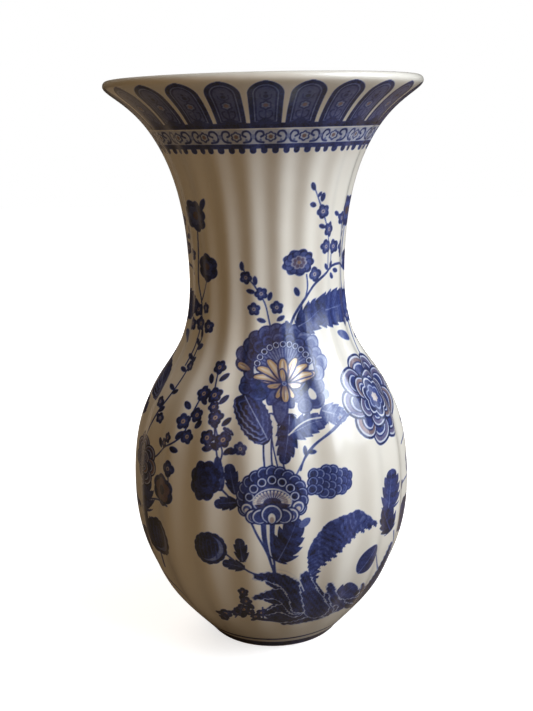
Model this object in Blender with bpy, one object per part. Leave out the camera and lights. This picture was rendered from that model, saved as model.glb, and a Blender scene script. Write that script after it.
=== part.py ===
"""A lobed pottery vase with a full belly, a narrow waist and a flared mouth.

The pot is raised from three sections of clay, each formed on its own and luted to the next with slip: a turned
foot ring, a belly with its floor and shoulder, and a neck with the mouth. The belly and the neck meet at the waist.
Metres, +Z up, origin at the centre of the foot.
"""

import math

import bmesh
import bpy
import numpy as np

# Outline of the outside, from the foot up
HEIGHT = 0.300
FOOT_RADIUS = 0.036
BELLY_RADIUS = 0.0745
BELLY_HEIGHT = 0.0855
WAIST_RADIUS = 0.041
WAIST_HEIGHT = 0.200
MOUTH_RADIUS = 0.0815

# How the outline leaves each of those places, as shares of the rise to the next one
FOOT_ANGLE = math.radians(62)
MOUTH_ANGLE = math.radians(55)
FOOT_REACH = 0.12
FULLNESS_BELOW_BELLY = 0.62
FULLNESS_ABOVE_BELLY = 0.64
FULLNESS_BELOW_WAIST = 0.52
FULLNESS_ABOVE_WAIST = 0.84
MOUTH_REACH = 0.10

# Walls
WALL = 0.0045
LIP_THICKNESS = 0.0052
FLOOR_THICKNESS = 0.006
FLOOR_COVE = 0.008
FOOT_RING_HEIGHT = 0.006
FOOT_RING_WIDTH = 0.0065
FOOT_EDGE = 0.0008

# Lobes pressed into the wall, with a groove facing the front
LOBES = 20
LOBE_DEPTH = 0.0018
LOBES_START = (0.008, 0.034)
LOBES_END_BELOW_TOP = (0.034, 0.006)

# The luted joints
JOINT_ABOVE_WAIST = 0.0
TONGUE_LENGTH = 0.0035
SLIP_GAP = 0.0003

STEPS_PER_LOBE = 4
ROWS = 13
LIP_STEPS = 6
COVE_STEPS = 4
OUTLINE_SAMPLES = 160


def bezier(start, start_handle, end_handle, end):
    """A cubic curve as rows of (radius, height)."""
    t = np.linspace(0, 1, OUTLINE_SAMPLES)[:, None]
    u = 1 - t
    corners = [np.array(p) for p in (start, start_handle, end_handle, end)]
    return u**3 * corners[0] + 3 * u**2 * t * corners[1] + 3 * u * t**2 * corners[2] + t**3 * corners[3]


def lip_centre():
    """The middle of the round lip, as (radius, height)."""
    half = LIP_THICKNESS / 2
    return np.array((MOUTH_RADIUS - half, HEIGHT - half))


def outline():
    """The outside from the foot's edge to where the round lip begins, as rows of (radius, height)."""
    foot = np.array((FOOT_RADIUS, 0.0))
    belly = np.array((BELLY_RADIUS, BELLY_HEIGHT))
    waist = np.array((WAIST_RADIUS, WAIST_HEIGHT))
    outward = np.array((math.sin(MOUTH_ANGLE), -math.cos(MOUTH_ANGLE)))
    lip = lip_centre() + LIP_THICKNESS / 2 * outward
    up = np.array((0.0, 1.0))
    foot_way = np.array((math.cos(FOOT_ANGLE), math.sin(FOOT_ANGLE)))
    mouth_way = np.array((math.cos(MOUTH_ANGLE), math.sin(MOUTH_ANGLE)))
    shoulder_rise = WAIST_HEIGHT - BELLY_HEIGHT
    mouth_rise = lip[1] - WAIST_HEIGHT
    lower = bezier(
        foot, foot + FOOT_REACH * BELLY_HEIGHT * foot_way, belly - FULLNESS_BELOW_BELLY * BELLY_HEIGHT * up, belly
    )
    upper = bezier(
        belly, belly + FULLNESS_ABOVE_BELLY * shoulder_rise * up, waist - FULLNESS_BELOW_WAIST * shoulder_rise * up, waist
    )
    flare = bezier(
        waist, waist + FULLNESS_ABOVE_WAIST * mouth_rise * up, lip - MOUTH_REACH * mouth_rise * mouth_way, lip
    )
    return np.concatenate([lower, upper[1:], flare[1:]])


OUTLINE = outline()
JOINT_HEIGHT = WAIST_HEIGHT + JOINT_ABOVE_WAIST
SLOPE = np.gradient(OUTLINE[:, 0], OUTLINE[:, 1])


def wall_point(height, depth=0.0):
    """A point this deep in the wall, measured square to the outside from the outline at that height."""
    radius = np.interp(height, OUTLINE[:, 1], OUTLINE[:, 0])
    slope = np.interp(height, OUTLINE[:, 1], SLOPE)
    scale = depth / math.hypot(1, slope)
    return radius - scale, height + scale * slope


def wall_rows(low, high, depth=0.0):
    """Points of the wall at that depth, between two heights, both included."""
    return [wall_point(z, depth) for z in np.linspace(low, high, ROWS)]


def foot_ring_section():
    """The foot ring: a short tapered ring, flat underneath, with its two standing edges eased."""
    top = FOOT_RING_HEIGHT - SLIP_GAP / 2
    inner = FOOT_RADIUS - FOOT_RING_WIDTH
    return [
        (inner, FOOT_EDGE),
        (inner + FOOT_EDGE, 0.0),
        (FOOT_RADIUS - FOOT_EDGE, 0.0),
        wall_point(FOOT_EDGE),
        wall_point(FOOT_RING_HEIGHT / 2),
        wall_point(top),
        (inner, top),
    ]


def belly_section():
    """The belly from the middle of its underside, out and up the wall, over the tongue and down the inside."""
    underside = FOOT_RING_HEIGHT + SLIP_GAP / 2
    floor = underside + FLOOR_THICKNESS
    joint = JOINT_HEIGHT - SLIP_GAP / 2
    outside = wall_rows(underside, joint)
    tongue = [
        wall_point(joint, WALL / 2),
        wall_point(JOINT_HEIGHT + TONGUE_LENGTH - SLIP_GAP / 2, WALL / 2),
    ]
    inside = wall_rows(floor + FLOOR_COVE, JOINT_HEIGHT + TONGUE_LENGTH - SLIP_GAP / 2, WALL)[::-1]
    cove_top = inside[-1]
    cove = [
        (
            cove_top[0] - FLOOR_COVE * (1 - math.cos(angle)),
            floor + (cove_top[1] - floor) * (1 - math.sin(angle)),
        )
        for angle in np.linspace(0, math.pi / 2, COVE_STEPS + 1)[1:]
    ]
    return [(0.0, underside), *outside, *tongue, *inside, *cove, (0.0, floor)]


def neck_section():
    """The neck and mouth: up the outside, round the lip, and down the inside to the groove that takes the tongue."""
    joint = JOINT_HEIGHT + SLIP_GAP / 2
    lip_start = OUTLINE[-1, 1]
    outside = wall_rows(joint, lip_start)
    centre = lip_centre()
    first = MOUTH_ANGLE - math.pi / 2
    lip = [
        tuple(centre + LIP_THICKNESS / 2 * np.array((math.cos(angle), math.sin(angle))))
        for angle in np.linspace(first, first + math.pi, LIP_STEPS + 1)[1:]
    ]
    groove = JOINT_HEIGHT + TONGUE_LENGTH + SLIP_GAP / 2
    below_lip = lip_start - 2 * LIP_THICKNESS
    inside = wall_rows(groove, below_lip, WALL)[::-1]
    middle = WALL / 2 - SLIP_GAP
    return [*outside, *lip, *inside, wall_point(groove, middle), wall_point(joint, middle)]


def lobe_share(height):
    """How strong the lobes are at a height: none at the foot and the lip, full between."""
    rise = np.clip((height - LOBES_START[0]) / (LOBES_START[1] - LOBES_START[0]), 0, 1)
    first, last = (HEIGHT - below for below in LOBES_END_BELOW_TOP)
    fall = np.clip((height - first) / (last - first), 0, 1)
    return rise**2 * (3 - 2 * rise) * (1 - fall**2 * (3 - 2 * fall))


def press_lobes(bm):
    """Moves each vertex in or out along its radius, so that the wall keeps its thickness."""
    for vertex in bm.verts:
        x, y, z = vertex.co
        turn = math.atan2(x, -y)
        share = LOBE_DEPTH / 2 / BELLY_RADIUS * lobe_share(z)
        factor = 1 - share * math.cos(LOBES * turn)
        vertex.co.x = x * factor
        vertex.co.y = y * factor


def turned(name, section, material, closed):
    """Spins a section round the axis and presses the lobes into it. A closed section is a ring of clay."""
    bm = bmesh.new()
    points = [bm.verts.new((0.0, -radius, height)) for radius, height in section]
    edges = [bm.edges.new(pair) for pair in zip(points, points[1:])]
    if closed:
        edges.append(bm.edges.new((points[-1], points[0])))
    bmesh.ops.spin(
        bm,
        geom=points + edges,
        axis=(0, 0, 1),
        cent=(0, 0, 0),
        steps=LOBES * STEPS_PER_LOBE,
        angle=2 * math.pi,
        use_merge=True,
    )
    bmesh.ops.remove_doubles(bm, verts=bm.verts, dist=1e-6)
    press_lobes(bm)
    bmesh.ops.recalc_face_normals(bm, faces=bm.faces)
    mesh = bpy.data.meshes.new(name)
    bm.to_mesh(mesh)
    bm.free()
    mesh.shade_smooth()
    mesh.set_sharp_from_angle(angle=math.radians(40))
    mesh.materials.append(material)
    piece = bpy.data.objects.new(name, mesh)
    bpy.context.scene.collection.objects.link(piece)
    return piece


def glaze(name, colour, roughness):
    """A fired glaze of one colour."""
    material = bpy.data.materials.new(name)
    material.use_nodes = True
    shader = material.node_tree.nodes["Principled BSDF"]
    shader.inputs["Base Color"].default_value = (*colour, 1.0)
    shader.inputs["Roughness"].default_value = roughness
    shader.inputs["Metallic"].default_value = 0.0
    return material


for old in list(bpy.data.objects):
    bpy.data.objects.remove(old)

cream = glaze("cream_glaze", (0.78, 0.73, 0.64), 0.15)
cobalt = glaze("cobalt_glaze", (0.02, 0.03, 0.16), 0.15)
turned("foot_ring", foot_ring_section(), cobalt, closed=True)
turned("belly", belly_section(), cream, closed=False)
turned("neck", neck_section(), cream, closed=True)
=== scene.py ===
import math

import bpy
import numpy as np
from mathutils import Matrix, Vector

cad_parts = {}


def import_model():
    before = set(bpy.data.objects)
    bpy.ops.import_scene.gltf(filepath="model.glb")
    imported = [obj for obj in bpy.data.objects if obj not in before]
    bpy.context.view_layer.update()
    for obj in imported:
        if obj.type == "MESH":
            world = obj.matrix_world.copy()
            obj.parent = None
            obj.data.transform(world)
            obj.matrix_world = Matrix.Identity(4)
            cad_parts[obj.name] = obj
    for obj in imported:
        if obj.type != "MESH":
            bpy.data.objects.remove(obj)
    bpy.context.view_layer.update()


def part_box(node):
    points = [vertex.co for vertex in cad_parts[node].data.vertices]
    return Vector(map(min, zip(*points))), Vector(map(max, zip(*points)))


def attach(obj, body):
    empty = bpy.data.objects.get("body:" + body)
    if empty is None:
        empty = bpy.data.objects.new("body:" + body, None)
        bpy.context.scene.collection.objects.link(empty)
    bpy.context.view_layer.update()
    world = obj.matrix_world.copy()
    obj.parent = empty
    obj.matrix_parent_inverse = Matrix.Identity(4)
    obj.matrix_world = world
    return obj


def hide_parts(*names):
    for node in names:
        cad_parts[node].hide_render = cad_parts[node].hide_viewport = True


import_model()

MM = 0.001

# ------------------------------------------------------------
# The foot ring
# A short tapered ring of clay, turned on the wheel and luted under the belly. Outside it is covered with
# cobalt blue; the edge that stands on the table is wiped clean, so bare clay shows there.
# ------------------------------------------------------------

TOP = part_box("neck")[1].z / MM
FOOT_RADIUS, FOOT_HEIGHT, FOOT_INSIDE, FOOT_EDGE = 36.0, 6.0, 29.5, 0.8
BELLY_RADIUS, BELLY_HEIGHT, BELLY_FULLNESS = 74.5, 85.5, (0.62, 0.64)
WAIST_RADIUS, WAIST_HEIGHT, WAIST_FULLNESS = 41.0, 200.0, (0.52, 0.84)
MOUTH_RADIUS, LIP = 81.5, 5.2
FOOT_ANGLE, MOUTH_ANGLE = math.radians(62), math.radians(55)
FOOT_REACH, MOUTH_REACH = 0.12, 0.10
WALL = 4.5
LOBES, LOBE_DEPTH = 20, 1.8
LOBES_RISE, LOBES_FALL = (8.0, 34.0), (TOP - 34, TOP - 6)


def curve(start, start_handle, end_handle, end):
    """A cubic curve: the sum of four corners weighted by (1-t)^3, 3(1-t)^2 t, 3(1-t) t^2 and t^3."""
    t = np.linspace(0, 1, 900)[:, None]
    u = 1 - t
    a, b, c, d = (np.array(p, float) for p in (start, start_handle, end_handle, end))
    return u**3 * a + 3 * u**2 * t * b + 3 * u * t**2 * c + t**3 * d


def outside_line():
    """The outline of the pot from the foot's edge to the round lip, as rows of (radius, height): three cubic
    curves that meet upright at the widest and at the narrowest place. A reach or a fullness is how far a
    corner of the curve lies from its place, as a share of the rise on that side."""
    lip = np.array([MOUTH_RADIUS - LIP / 2, TOP - LIP / 2])
    lip_start = lip + LIP / 2 * np.array([math.sin(MOUTH_ANGLE), -math.cos(MOUTH_ANGLE)])
    shoulder, flare = WAIST_HEIGHT - BELLY_HEIGHT, lip_start[1] - WAIST_HEIGHT
    foot_pull = FOOT_REACH * BELLY_HEIGHT * np.array([math.cos(FOOT_ANGLE), math.sin(FOOT_ANGLE)])
    mouth_pull = MOUTH_REACH * flare * np.array([math.cos(MOUTH_ANGLE), math.sin(MOUTH_ANGLE)])
    foot, belly, waist = (FOOT_RADIUS, 0), (BELLY_RADIUS, BELLY_HEIGHT), (WAIST_RADIUS, WAIST_HEIGHT)
    under_belly = (BELLY_RADIUS, BELLY_HEIGHT - BELLY_FULLNESS[0] * BELLY_HEIGHT)
    over_belly = (BELLY_RADIUS, BELLY_HEIGHT + BELLY_FULLNESS[1] * shoulder)
    under_waist = (WAIST_RADIUS, WAIST_HEIGHT - WAIST_FULLNESS[0] * shoulder)
    over_waist = (WAIST_RADIUS, WAIST_HEIGHT + WAIST_FULLNESS[1] * flare)
    parts = [
        curve(foot, foot + foot_pull, under_belly, belly),
        curve(belly, over_belly, under_waist, waist),
        curve(waist, over_waist, lip_start - mouth_pull, lip_start),
    ]
    return np.concatenate([parts[0], parts[1][1:], parts[2][1:]])


LINE = outside_line()
RUN = np.concatenate([[0], np.cumsum(np.hypot(*np.diff(LINE, axis=0).T))])
LINE_WAY = np.gradient(LINE, RUN, axis=0)


def run_at(height):
    """How far along the outline, in millimetres from the foot, that height is."""
    return np.interp(height, LINE[:, 1], RUN)


def wall(run, depth=0.0):
    """Places in the wall and the way the outline goes there, both as rows of (radius, height): the outline
    at that run, moved in square to it by the depth."""
    run = np.atleast_1d(run)
    place = np.stack([np.interp(run, RUN, LINE[:, k]) for k in (0, 1)], 1)
    way = np.stack([np.interp(run, RUN, LINE_WAY[:, k]) for k in (0, 1)], 1)
    way /= np.hypot(*way.T)[:, None]
    return place + depth * np.stack([-way[:, 1], way[:, 0]], 1), way


def eased(height, span):
    """How far a height has come through a span of heights, from 0 to 1, eased with 3t^2 - 2t^3."""
    t = np.clip((height - span[0]) / (span[1] - span[0]), 0, 1)
    return t**2 * (3 - 2 * t)


def lobe_share(height):
    """The strength of the lobes as a share of the radius: nothing at the foot and the lip, full between."""
    return LOBE_DEPTH / 2 / BELLY_RADIUS * eased(height, LOBES_RISE) * (1 - eased(height, LOBES_FALL))


def turned(name, places, ways, turns, closed, material, layers, start=0):
    """A body of clay: a section, given as rows of (radius, height), carried round the axis. Its radius is
    multiplied by 1 - share x cos(20 turn), which presses the lobes, and each normal is worked out from the
    same formula. A closed section makes a ring; an open one starts and ends on the axis. The layers are
    values for the points of whole rows, from the point of that start on."""
    r, z = places[:, 0, None], places[:, 1, None]
    share = lobe_share(z)
    ripple = np.cos(LOBES * turns)[None, :]
    swell = 1 - share * ripple
    radius = r * swell
    x, y = radius * np.sin(turns), -radius * np.cos(turns)
    share_slope = (lobe_share(z + 0.01) - lobe_share(z - 0.01)) / 0.02
    along = ways[:, 0, None] * swell - r * share_slope * ripple * ways[:, 1, None]
    around = r * share * LOBES * np.sin(LOBES * turns)[None, :]
    out, up, side = ways[:, 1, None] + 0 * x, -along, -around * ways[:, 1, None] / np.maximum(radius, 1e-6)
    normal = np.stack(
        [out * np.sin(turns) + side * np.cos(turns), -out * np.cos(turns) + side * np.sin(turns), up], -1
    )
    normal /= np.maximum(np.linalg.norm(normal, axis=-1, keepdims=True), 1e-9)
    rows, columns = x.shape
    points = np.stack([x, y, z + 0 * x], -1) * MM
    index = np.arange(rows * columns).reshape(rows, columns)
    nearer, next_row = index, np.roll(index, -1, 0)
    if not closed:
        nearer, next_row = index[:-1], index[1:]
    quads = np.stack([nearer, np.roll(nearer, -1, 1), np.roll(next_row, -1, 1), next_row], -1).reshape(-1, 4)
    points, normal = points.reshape(-1, 3), normal.reshape(-1, 3)
    loops, counts = quads.ravel(), np.full(len(quads), 4)
    if not closed:
        poles = np.array([[0, 0, places[0, 1]], [0, 0, places[-1, 1]]]) * MM
        low, high = rows * columns, rows * columns + 1
        first, last = index[0], index[-1]
        fans = np.concatenate(
            [
                np.stack([np.full(columns, low), np.roll(first, -1), first], -1),
                np.stack([last, np.roll(last, -1), np.full(columns, high)], -1),
            ]
        )
        points = np.concatenate([points, poles])
        normal = np.concatenate([normal, [[0, 0, -1], [0, 0, 1]]])
        loops = np.concatenate([loops, fans.ravel()])
        counts = np.concatenate([counts, np.full(len(fans), 3)])
    mesh = bpy.data.meshes.new(name)
    mesh.vertices.add(len(points))
    mesh.vertices.foreach_set("co", points.astype(np.float32).ravel())
    mesh.loops.add(len(loops))
    mesh.loops.foreach_set("vertex_index", loops.astype(np.int32))
    mesh.polygons.add(len(counts))
    mesh.polygons.foreach_set("loop_start", np.concatenate([[0], np.cumsum(counts)[:-1]]).astype(np.int32))
    mesh.update(calc_edges=True)
    mesh.validate()
    mesh.shade_smooth()
    mesh.normals_split_custom_set_from_vertices(normal)
    for label, values in layers.items():
        full = np.zeros(len(points), np.float32)
        full[start : start + values.size] = values.ravel()
        mesh.attributes.new(label, "FLOAT", "POINT").data.foreach_set("value", full)
    mesh.materials.append(material)
    piece = bpy.data.objects.new(name, mesh)
    bpy.context.scene.collection.objects.link(piece)
    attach(piece, "root")
    return piece


def node_maker(material):
    """Turns on a material's nodes and returns a function that adds one: its type, its settings, then its
    inputs, each either a value or the output that feeds it."""
    material.use_nodes = True
    tree = material.node_tree
    tree.nodes.clear()

    def add(kind, settings=None, **inputs):
        node = tree.nodes.new(kind)
        for key, value in (settings or {}).items():
            setattr(node, key, value)
        for key, value in inputs.items():
            socket = node.inputs[int(key[1:])] if key[0] == "i" and key[1:].isdigit() else node.inputs[key]
            if isinstance(value, bpy.types.NodeSocket):
                tree.links.new(value, socket)
            else:
                socket.default_value = value
        return node

    return add


def spread(add, value, low, high, least, most):
    """Carries a value that goes from low to high over to the range from least to most."""
    ends = {"From Min": low, "From Max": high, "To Min": least, "To Max": most}
    return add("ShaderNodeMapRange", Value=value, **ends).outputs[0]


def painted_glaze():
    """Cream glaze over cobalt: the body's colour is multiplied by what the cobalt lets through, which is all
    of it where there is none, mostly blue where it is thin, and nearly nothing where it is thick."""
    material = bpy.data.materials.new("painted_glaze")
    add = node_maker(material)
    where = add("ShaderNodeTexCoord").outputs["Object"]
    marks = (add("ShaderNodeAttribute", {"attribute_name": name}) for name in ("cobalt", "gold", "bare"))
    cobalt, gold, bare = (mark.outputs["Fac"] for mark in marks)

    def noise(scale, detail, roughness=0.5):
        """Smooth noise with about this many swells to a metre."""
        inputs = {"Scale": scale, "Detail": detail, "Roughness": roughness}
        return add("ShaderNodeTexNoise", i0=where, **inputs).outputs["Fac"]

    def worked(operation, first, second):
        """Two values multiplied, subtracted or compared."""
        return add("ShaderNodeMath", {"operation": operation}, i0=first, i1=second).outputs[0]

    def laid(share, below, above, blend="MIX"):
        """One colour laid over another by a share."""
        settings = {"data_type": "RGBA", "blend_type": blend}
        return add("ShaderNodeMix", settings, i0=share, i6=below, i7=above).outputs[2]

    cream, pale_cream = (0.80, 0.745, 0.64, 1), (0.86, 0.815, 0.73, 1)
    gilding, clay = (0.47, 0.27, 0.07, 1), (0.55, 0.42, 0.30, 1)
    cloud = noise(38.0, 3.0)
    load = worked("MULTIPLY", cobalt, spread(add, noise(900.0, 4.0, 0.65), 0.3, 0.7, 0.84, 1.12))
    load = worked("MULTIPLY", load, spread(add, noise(210.0, 2.0), 0.3, 0.7, 0.86, 1.1))
    through = add("ShaderNodeValToRGB", Fac=load)
    stops = through.color_ramp.elements
    stops[0].position, stops[0].color = 0.0, (1, 1, 1, 1)
    stops[1].position, stops[1].color = 1.0, (0.013, 0.017, 0.052, 1)
    for at, colour in ((0.25, (0.46, 0.55, 0.86)), (0.5, (0.12, 0.17, 0.47)), (0.72, (0.038, 0.064, 0.28))):
        stops.new(at).color = (*colour, 1)
    seen = laid(1.0, laid(cloud, cream, pale_cream), through.outputs[0], "MULTIPLY")
    ripple, peel = noise(70.0, 1.0), noise(520.0, 1.0)
    heavy = add("ShaderNodeBump", Height=ripple, Distance=0.0006, Strength=0.35).outputs[0]
    fine = add("ShaderNodeBump", Height=peel, Distance=0.00006, Strength=0.3, Normal=heavy).outputs[0]
    shader = add(
        "ShaderNodeBsdfPrincipled",
        **{
            "Base Color": laid(bare, laid(gold, seen, gilding), clay),
            "Metallic": worked("MULTIPLY", gold, 0.55),
            "Roughness": worked("MAXIMUM", spread(add, cloud, 0.3, 0.7, 0.30, 0.42), bare),
            "Specular IOR Level": 0.25,
            "Coat Weight": worked("SUBTRACT", 1.0, bare),
            "Coat Roughness": 0.17,
            "Coat IOR": 1.5,
            "Normal": fine,
            "Coat Normal": fine,
        },
    )
    add("ShaderNodeOutputMaterial", Surface=shader.outputs[0])
    return material


GLAZE = painted_glaze()
FOOT_COLUMNS, WIPED, BLUE_TOP = 720, 0.55, 5.0


def foot_ring():
    """The ring's section: flat underneath with its two edges rounded by quarter circles, the outside along
    the pot's outline and an upright inside. The blue goes from the wiped edge, which wavers with
    sin(7 turn) x sin(3 turn), up to a bare line under the belly."""
    quarter = np.linspace(0, math.pi / 2, 5)
    across, up = FOOT_EDGE * np.sin(quarter), FOOT_EDGE * (1 - np.cos(quarter))
    outer = np.stack([FOOT_RADIUS - FOOT_EDGE + across, up], 1)
    outer_way = np.stack([np.cos(quarter), np.sin(quarter)], 1)
    side, side_way = wall(np.linspace(run_at(1.2), run_at(FOOT_HEIGHT), 14))
    inner = np.stack([FOOT_INSIDE + FOOT_EDGE - across, up], 1)[::-1]
    inner_way = np.stack([np.cos(quarter), -np.sin(quarter)], 1)[::-1]
    upright = np.array([[FOOT_INSIDE, FOOT_HEIGHT], [FOOT_INSIDE, FOOT_HEIGHT / 2]])
    places = np.concatenate([outer, side, upright, inner])
    ways = np.concatenate([outer_way, side_way, [[0, -1], [0, -1]], inner_way])
    turns = np.linspace(-math.pi, math.pi, FOOT_COLUMNS, endpoint=False)
    height = places[:, 1, None] + 0 * turns
    outside = (np.arange(len(places)) < len(outer) + len(side))[:, None]
    bare_edge = WIPED + 0.2 * np.sin(7 * turns + 1.3) * np.sin(3 * turns)
    wiped = np.clip((bare_edge - height) / 0.4 + 0.5, 0, 1)
    band = 0.97 * np.clip((BLUE_TOP - height) / 0.5 + 0.5, 0, 1)
    layers = {"cobalt": np.where(outside, band, 0) * (1 - wiped), "bare": wiped}
    piece = turned("foot_ring", places, ways, turns, True, GLAZE, layers)
    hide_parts("foot_ring")


foot_ring()

# ------------------------------------------------------------
# The painting
# Cobalt flowers printed and brushed on the raw glaze, with fine gilding on some petals. Everything is drawn
# in millimetres on the wall laid flat: x runs round the pot from a chosen meridian and y up along its
# outline.
# ------------------------------------------------------------

EDGE = 0.42  # how far the edge of a brush mark fades, in millimetres


class Patch:
    """A part of the painted wall laid flat: x and y of each point in millimetres, in the motif's own size,
    and how much cobalt and gold lie there. Inks go over each other in the order they are laid."""

    def __init__(self, x, y, blue, gold, size=1.0):
        self.x, self.y, self.blue, self.gold, self.size = x, y, blue, gold, size

    def at(self, x, y, tilt=0, reach=12.0, size=1.0):
        """The points within reach of a place, measured from there: turned left by the tilt, then divided by
        the motif's size."""
        across, up = self.x - x, self.y - y
        near = across**2 + up**2 < reach**2
        rows, columns = np.flatnonzero(near.any(1)), np.flatnonzero(near.any(0))
        if not len(rows):
            rows = columns = np.array([0, -1])
        cut = np.s_[rows[0] : rows[-1] + 1, columns[0] : columns[-1] + 1]
        across, up = across[cut], up[cut]
        c, s = math.cos(math.radians(tilt)), math.sin(math.radians(tilt))
        x, y = (c * across + s * up) / size, (c * up - s * across) / size
        return Patch(x, y, self.blue[cut], self.gold[cut], self.size * size)

    def ink(self, beyond, blue, gold=0.0):
        """Lays an ink wherever the distance beyond the edge is negative, and fades it over the edge's
        width."""
        cover = np.clip(0.5 - beyond * self.size / EDGE, 0, 1)
        self.blue += cover * (blue - self.blue)
        self.gold += cover * (gold - self.gold)

    def disc(self, x, y, radius, squash=1.0):
        """Distance beyond a round spot whose height is its width times squash."""
        return (np.hypot(self.x - x, (self.y - y) / squash) - radius) * min(1.0, squash)

    def spots(self, *spots, squash=1.0):
        """Inks round spots one over the other. Each has an x, a y, a radius and a blue, and a gold where it
        is gilded."""
        for x, y, radius, *inks in spots:
            self.ink(self.disc(x, y, radius, squash), *inks)

    def scallop(self, radius, lobes, depth, squash=1.0, phase=0.0):
        """Distance beyond a scalloped round: its radius dips by depth x (1 - |cos(lobes x angle / 2)|)."""
        angle = np.arctan2(self.x, self.y / squash) - math.radians(phase)
        rim = radius * (1 - depth * (1 - np.abs(np.cos(lobes * angle / 2))))
        return (np.hypot(self.x, self.y / squash) - rim) * min(1.0, squash)

    def petal(self, length, width, full, sharp=1.0, bend=0.0):
        """Distance beyond a petal that grows up y from the origin. Its half width is t^f (1-t)^(1-f), raised
        to the sharpness and scaled to be widest at t = full; bend carries its middle line sideways as
        t^2."""
        t = np.clip(self.y / length, 1e-3, 1 - 1e-3)
        shape = (t / full) ** full * ((1 - t) / (1 - full)) ** (1 - full)
        half = width / 2 * shape**sharp
        side = np.abs(self.x - bend * length * (self.y / length) ** 2)
        return np.maximum((side - half) * 0.85, np.maximum(-self.y, self.y - length))

    def line(self, points, width, end=None):
        """Distance beyond a brush line: the least distance to the runs between points of a smooth curve
        through the given ones, less half a width that goes from the first value to the end value."""
        points = np.array(points, float)
        ends = np.concatenate([2 * points[:1] - points[1:2], points, 2 * points[-1:] - points[-2:-1]])
        t = np.linspace(0, 1, 6)[:-1, None]
        smooth = [
            0.5 * (2 * b + (c - a) * t + (2 * a - 5 * b + 4 * c - d) * t**2 + (3 * b - a - 3 * c + d) * t**3)
            for a, b, c, d in zip(ends, ends[1:], ends[2:], ends[3:])
        ]
        path = np.concatenate([*smooth, points[-1:]])
        widths = np.linspace(width, width if end is None else end, len(path)) / 2
        best = np.full(self.x.shape, 1e3)
        for (ax, ay), (bx, by), half in zip(path, path[1:], widths):
            run = (bx - ax) ** 2 + (by - ay) ** 2 + 1e-9
            k = np.clip(((self.x - ax) * (bx - ax) + (self.y - ay) * (by - ay)) / run, 0, 1)
            best = np.minimum(best, np.hypot(self.x - ax - k * (bx - ax), self.y - ay - k * (by - ay)) - half)
        return best


def ray(degrees):
    """The x and y of one step from a middle, so many degrees round from straight up."""
    return math.sin(math.radians(degrees)), math.cos(math.radians(degrees))


def blossom(p, radius, blue, lobes=5, heart=0.35):
    """A small flower: a scalloped spot with a darker rim, a paler middle in each petal and a dark eye."""
    p.ink(p.scallop(radius, lobes, 0.24), blue)
    p.ink(p.scallop(radius * 0.66, lobes, 0.42), blue - 0.2)
    p.spots((0, 0, radius * 0.26, 0.2, heart), (0, 0, radius * 0.11, 0.9))


def leaflet(p, length, width, blue, vein=0.0):
    """A small plain leaf, which may have a paler middle line."""
    p.ink(p.petal(length, width, 0.5, 1.2), blue)
    if vein:
        p.ink(np.maximum(np.abs(p.x) - 0.22, p.petal(length, width, 0.5)), vein)


def toothed_leaf(p, length, width, bend, teeth, blue, depth=0.26, streak=0.14, full=0.42):
    """A leaf with a saw edge: its half width drops by the depth along each tooth and springs back at the
    next. It is streaked along its side veins and has a pale midrib."""
    t = np.clip(p.y / length, 1e-3, 1 - 1e-3)
    middle = bend * length * (p.y / length) ** 2
    side = p.x - middle
    shape = (t / full) ** full * ((1 - t) / (1 - full)) ** (1 - full)
    lean = t - 0.35 * np.abs(side) / length
    tooth = 1 - depth * (1 - ((teeth * lean) % 1) ** 0.7)
    edge = np.maximum((np.abs(side) - width / 2 * shape**0.85 * tooth) * 0.8, np.maximum(-p.y, p.y - length))
    veins = np.sin(2 * math.pi * (teeth * lean)) + 0.5 * np.sin(2 * math.pi * 2.7 * teeth * lean + side)
    shade = blue + streak * veins * 0.5 + 0.12 * np.clip(1 + edge / 1.2, 0, 1)
    p.ink(edge, np.clip(shade, 0.25, 1.0))
    p.ink(np.maximum(np.abs(side) - 0.28 * (1 - t), edge + 0.8), blue * 0.45)


def stem(p, points, width, blue):
    """One brush line, a little paler along its middle."""
    edge = p.line(points, width)
    p.ink(edge, blue)
    p.ink(edge + width * 0.42, blue - 0.25)


def ringed(p, x, y, radius, blue, pale, heart=None):
    """A bead: a blue spot, a pale ring inside its edge and a blue middle, which may have a small heart of
    another blue."""
    p.spots((x, y, radius, blue), (x, y, radius * 0.78, pale), (x, y, radius * 0.56, blue))
    if heart:
        p.spots((x, y, radius * 0.3, heart))


def gilt_petal(p, length, width, bend=0.0):
    """A petal of the great flower: a blue outline, gilding that thickens towards the tip, and a pale body
    that is blue near its root."""
    rise, pale, gold = p.y / length, 0.05, 0.85
    edge = p.petal(length, width, 0.62, 1.0, bend)
    p.ink(edge - 0.7, 0.92)
    p.ink(edge + 0.15, pale + 0.7 * np.clip(1.1 - 2.2 * rise, 0, 1), gold * np.clip(0.45 + 0.75 * rise, 0, 1))
    p.ink(edge + 0.9, pale + 0.8 * np.clip(1.1 - 2.1 * rise, 0, 1), 0.46 * gold)
    p.ink(np.maximum(np.abs(p.x - 0.16 * width) - 0.35, edge + 0.8), 0.62, 0.5)


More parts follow.
